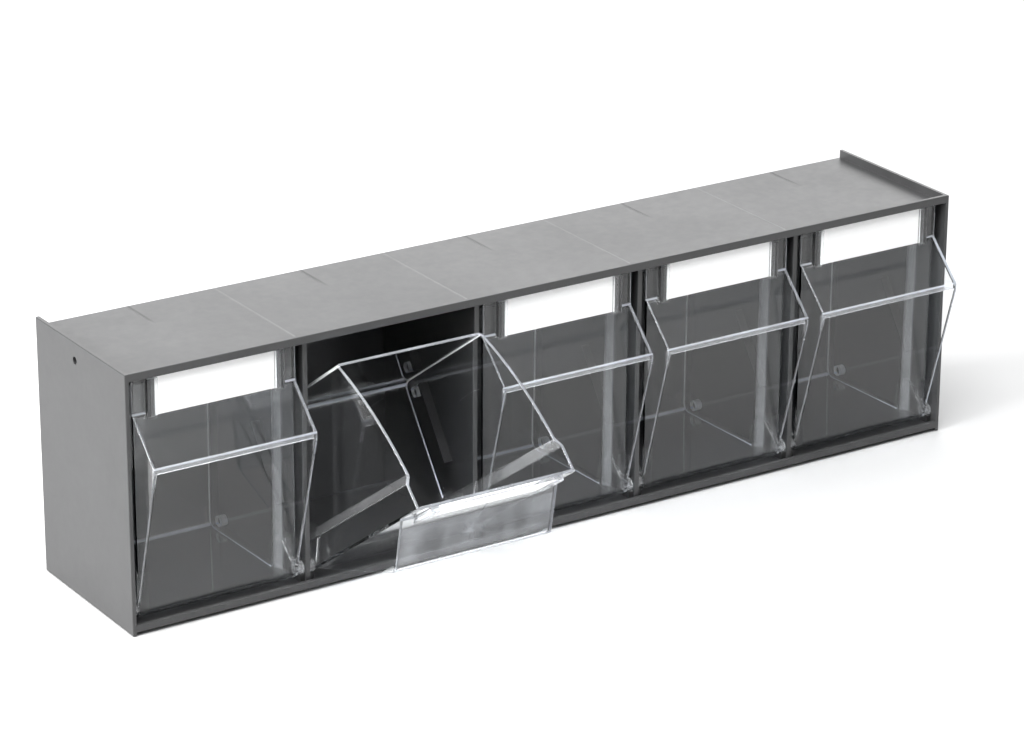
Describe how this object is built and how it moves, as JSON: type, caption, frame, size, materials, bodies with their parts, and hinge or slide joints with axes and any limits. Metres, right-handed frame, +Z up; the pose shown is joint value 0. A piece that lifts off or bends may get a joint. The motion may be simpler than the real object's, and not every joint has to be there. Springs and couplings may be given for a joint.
{
  "type": "parts bin cabinet",
  "caption": "Wide, low cabinet for small parts: a dark moulded housing with a row of clear bins that tip forward on snap-in stubs, each with a sloping pull and a label holder.",
  "frame": {"origin": "middle of the housing's footprint, on the surface that it stands on", "axes": "+X to the right along the row of bins, +Y to the back of the housing, +Z up"},
  "size_m": [0.6, 0.2269, 0.164],
  "materials": {
    "housing": "dark grey moulded polystyrene, fine satin texture",
    "bin": "clear moulded crystal polystyrene, glossy",
    "card": "white card, matt"
  },
  "bodies": {
    "housing": {"housing_shell": "housing", "left_end_plate": "housing", "right_end_plate": "housing"},
    "bin_1": {"bin_1": "bin", "label_card_1": "card"},
    "bin_2": {"bin_2": "bin", "label_card_2": "card"},
    "bin_3": {"bin_3": "bin", "label_card_3": "card"},
    "bin_4": {"bin_4": "bin", "label_card_4": "card"},
    "bin_5": {"bin_5": "bin", "label_card_5": "card"}
  },
  "joints": [
    {"name": "bin_1_tilt", "type": "hinge", "parent": "housing", "child": "bin_1", "pos_m": [-0.2392, -0.0472, 0.013], "axis": [1, 0, 0], "range_deg": [0, 55.5]},
    {"name": "bin_2_tilt", "type": "hinge", "parent": "housing", "child": "bin_2", "pos_m": [-0.1196, -0.0472, 0.013], "axis": [1, 0, 0], "range_deg": [-55.5, 0]},
    {"name": "bin_3_tilt", "type": "hinge", "parent": "housing", "child": "bin_3", "pos_m": [0, -0.0472, 0.013], "axis": [1, 0, 0], "range_deg": [0, 55.5]},
    {"name": "bin_4_tilt", "type": "hinge", "parent": "housing", "child": "bin_4", "pos_m": [0.1196, -0.0472, 0.013], "axis": [1, 0, 0], "range_deg": [0, 55.5]},
    {"name": "bin_5_tilt", "type": "hinge", "parent": "housing", "child": "bin_5", "pos_m": [0.2392, -0.0472, 0.013], "axis": [1, 0, 0], "range_deg": [0, 55.5]}
  ]
}
